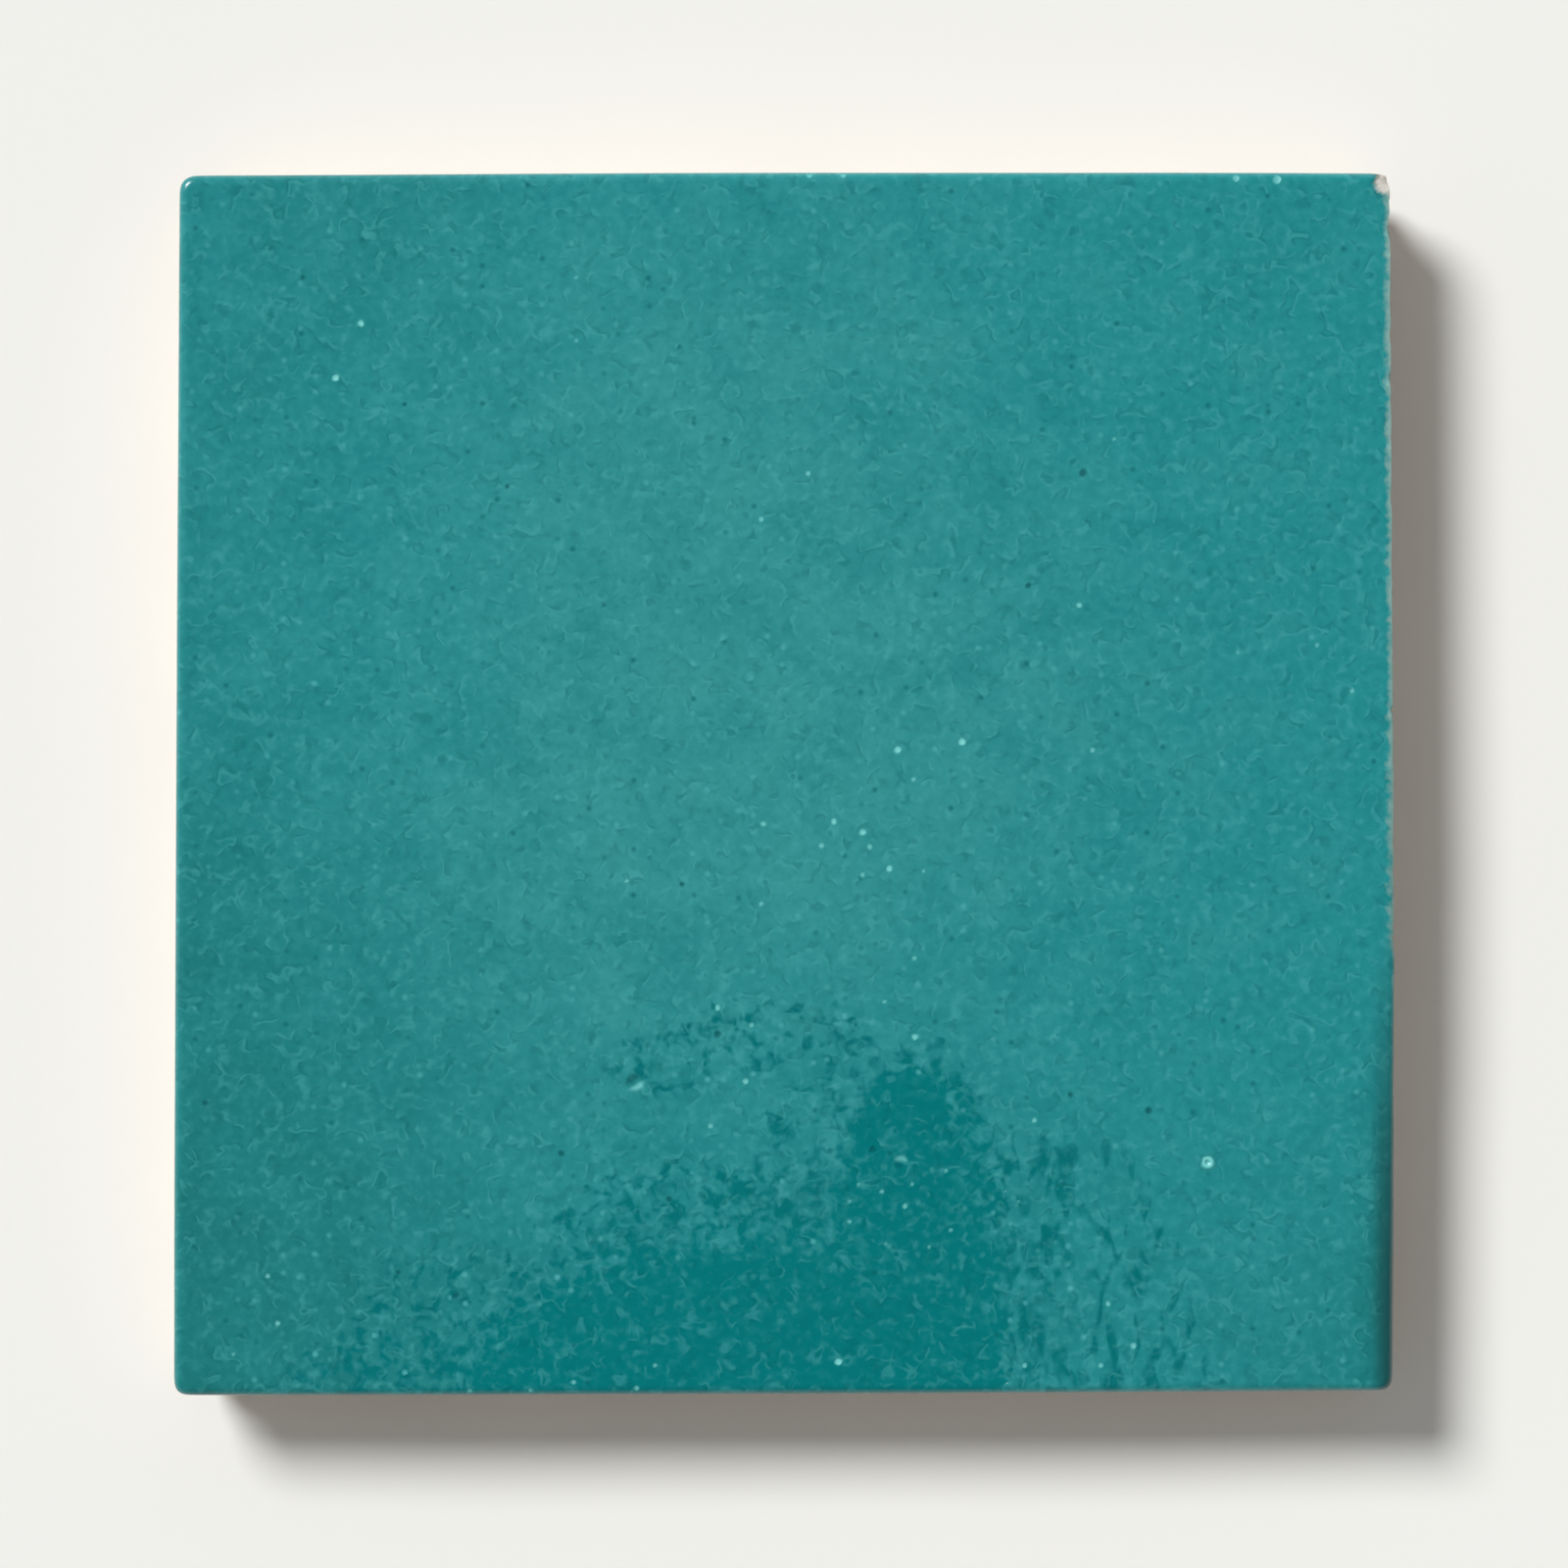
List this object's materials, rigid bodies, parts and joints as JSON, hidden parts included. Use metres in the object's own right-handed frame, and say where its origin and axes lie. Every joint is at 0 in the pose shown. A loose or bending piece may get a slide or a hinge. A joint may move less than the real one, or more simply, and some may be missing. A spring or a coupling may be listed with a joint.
{
  "type": "zellige tile",
  "caption": "Square hand-cut wall tile of fired clay with a glazed, gently uneven face and struck flanks that lean in to its back.",
  "frame": {"origin": "middle of the back, where the tile lies on its bed", "axes": "+X to the right and +Y to the far side, seen from above the glazed face; +Z out of the glazed face"},
  "size_m": [0.1012, 0.1014, 0.011],
  "materials": {
    "glaze": "glossy teal glaze on fired clay"
  },
  "bodies": {
    "root": {"tile": "glaze"}
  },
  "joints": []
}
